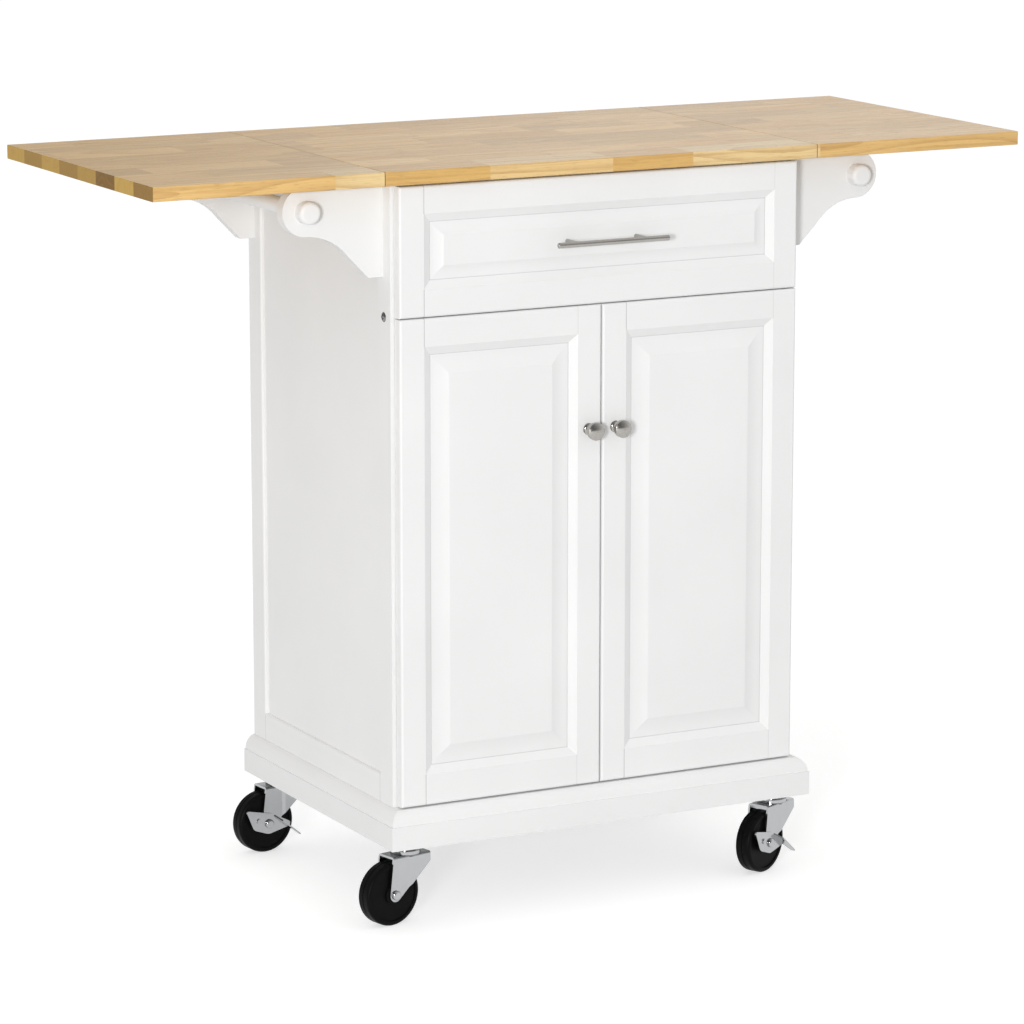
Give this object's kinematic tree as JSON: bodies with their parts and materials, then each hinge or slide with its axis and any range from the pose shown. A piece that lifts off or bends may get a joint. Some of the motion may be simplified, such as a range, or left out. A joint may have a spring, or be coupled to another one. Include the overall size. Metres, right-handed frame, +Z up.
{
  "type": "kitchen island cart",
  "caption": "Painted kitchen island cart with a butcher-block worktop, fold-over leaves on corbels with towel bars, a drawer, a two-door cupboard and swivel casters.",
  "frame": {"origin": "on the floor below the middle of the overall size, from the pull to the worktop's rear edge and from leaf to leaf", "axes": "+X to the right along the worktop as seen from the front, +Y to the rear, +Z up"},
  "size_m": [1.2, 0.4875, 0.9385],
  "materials": {
    "butcher_block": "oiled",
    "white_paint": "satin paint",
    "drawer_wood": "clear lacquer",
    "brushed_nickel": "brushed",
    "zinc_steel": "bright zinc plate",
    "hinge_brass": "satin",
    "black_wheel": "satin"
  },
  "bodies": {
    "cabinet": {"worktop": "butcher_block", "worktop_hinge_barrels": "hinge_brass", "left_side_frame": "white_paint", "left_side_panel": "white_paint", "right_side_frame": "white_paint", "right_side_panel": "white_paint", "back_panel": "white_paint", "base_board": "white_paint", "bottom_rail": "white_paint", "front_plinth": "white_paint", "left_plinth": "white_paint", "right_plinth": "white_paint", "rear_plinth": "white_paint", "top_rails": "white_paint", "drawer_divider": "white_paint", "shelf": "white_paint", "shelf_pins": "zinc_steel", "left_front_corbel": "white_paint", "left_rear_corbel": "white_paint", "right_front_corbel": "white_paint", "right_rear_corbel": "white_paint", "left_towel_bar": "white_paint", "right_towel_bar": "white_paint", "towel_bar_caps": "white_paint", "drawer_runner_channels": "zinc_steel", "door_hinge_arms": "zinc_steel", "caster_stems": "zinc_steel"},
    "drawer": {"drawer_front_frame": "white_paint", "drawer_front_panel": "white_paint", "drawer_pull": "brushed_nickel", "drawer_sides": "drawer_wood", "drawer_back": "drawer_wood", "drawer_bottom": "drawer_wood", "drawer_runner_bars": "zinc_steel"},
    "left_door": {"left_door_frame": "white_paint", "left_door_panel": "white_paint", "left_door_knob": "brushed_nickel", "left_door_hinge_cups": "zinc_steel"},
    "right_door": {"right_door_frame": "white_paint", "right_door_panel": "white_paint", "right_door_knob": "brushed_nickel", "right_door_hinge_cups": "zinc_steel"},
    "left_leaf_board": {"left_leaf": "butcher_block", "left_leaf_hinge_barrels": "hinge_brass"},
    "right_leaf_board": {"right_leaf": "butcher_block", "right_leaf_hinge_barrels": "hinge_brass"},
    "front_left_caster": {"front_left_caster_fork": "zinc_steel", "front_left_caster_axle": "zinc_steel"},
    "front_left_wheel": {"front_left_caster_wheel": "black_wheel"},
    "front_right_caster": {"front_right_caster_fork": "zinc_steel", "front_right_caster_axle": "zinc_steel"},
    "front_right_wheel": {"front_right_caster_wheel": "black_wheel"},
    "front_right_brake": {"front_right_brake_lever": "zinc_steel"},
    "rear_left_caster": {"rear_left_caster_fork": "zinc_steel", "rear_left_caster_axle": "zinc_steel"},
    "rear_left_wheel": {"rear_left_caster_wheel": "black_wheel"},
    "rear_left_brake": {"rear_left_brake_lever": "zinc_steel"},
    "rear_right_caster": {"rear_right_caster_fork": "zinc_steel", "rear_right_caster_axle": "zinc_steel"},
    "rear_right_wheel": {"rear_right_caster_wheel": "black_wheel"}
  },
  "joints": [
    {"name": "drawer_slide", "type": "slide", "parent": "cabinet", "child": "drawer", "axis": [0, -1, 0], "range_m": [0, 0.28]},
    {"name": "left_door_hinge", "type": "hinge", "parent": "cabinet", "child": "left_door", "pos_m": [-0.2775, -0.19725, 0.45315], "axis": [0, 0, -1], "range_deg": [0, 95]},
    {"name": "right_door_hinge", "type": "hinge", "parent": "cabinet", "child": "right_door", "pos_m": [0.2775, -0.19725, 0.45315], "axis": [0, 0, 1], "range_deg": [0, 95]},
    {"name": "left_leaf_fold", "type": "hinge", "parent": "cabinet", "child": "left_leaf_board", "pos_m": [-0.3003, 0.01175, 0.93865], "axis": [0, 1, 0], "range_deg": [0, 180]},
    {"name": "right_leaf_fold", "type": "hinge", "parent": "cabinet", "child": "right_leaf_board", "pos_m": [0.3003, 0.01175, 0.93865], "axis": [0, -1, 0], "range_deg": [0, 180]},
    {"name": "front_left_swivel", "type": "hinge", "parent": "cabinet", "child": "front_left_caster", "pos_m": [-0.263, -0.19025, 0.103], "axis": [0, 0, 1], "continuous": true},
    {"name": "front_left_wheel_spin", "type": "hinge", "parent": "front_left_caster", "child": "front_left_wheel", "pos_m": [-0.28941, -0.19586, 0.04], "axis": [0.2079, -0.9781, 0], "continuous": true},
    {"name": "front_right_swivel", "type": "hinge", "parent": "cabinet", "child": "front_right_caster", "pos_m": [0.263, -0.19025, 0.103], "axis": [0, 0, 1], "continuous": true},
    {"name": "front_right_wheel_spin", "type": "hinge", "parent": "front_right_caster", "child": "front_right_wheel", "pos_m": [0.23853, -0.20166, 0.04], "axis": [0.4226, -0.9063, 0], "continuous": true},
    {"name": "front_right_brake_press", "type": "hinge", "parent": "front_right_caster", "child": "front_right_brake", "pos_m": [0.23853, -0.20166, 0.04], "axis": [-0.4226, 0.9063, 0], "range_deg": [0, 20]},
    {"name": "rear_left_swivel", "type": "hinge", "parent": "cabinet", "child": "rear_left_caster", "pos_m": [-0.263, 0.18275, 0.103], "axis": [0, 0, 1], "continuous": true},
    {"name": "rear_left_wheel_spin", "type": "hinge", "parent": "rear_left_caster", "child": "rear_left_wheel", "pos_m": [-0.28985, 0.17993, 0.04], "axis": [0.1045, -0.9945, 0], "continuous": true},
    {"name": "rear_left_brake_press", "type": "hinge", "parent": "rear_left_caster", "child": "rear_left_brake", "pos_m": [-0.28985, 0.17993, 0.04], "axis": [-0.1045, 0.9945, 0], "range_deg": [0, 20]},
    {"name": "rear_right_swivel", "type": "hinge", "parent": "cabinet", "child": "rear_right_caster", "pos_m": [0.263, 0.18275, 0.103], "axis": [0, 0, 1], "continuous": true},
    {"name": "rear_right_wheel_spin", "type": "hinge", "parent": "rear_right_caster", "child": "rear_right_wheel", "pos_m": [0.23732, 0.17441, 0.04], "axis": [0.309, -0.9511, 0], "continuous": true}
  ]
}
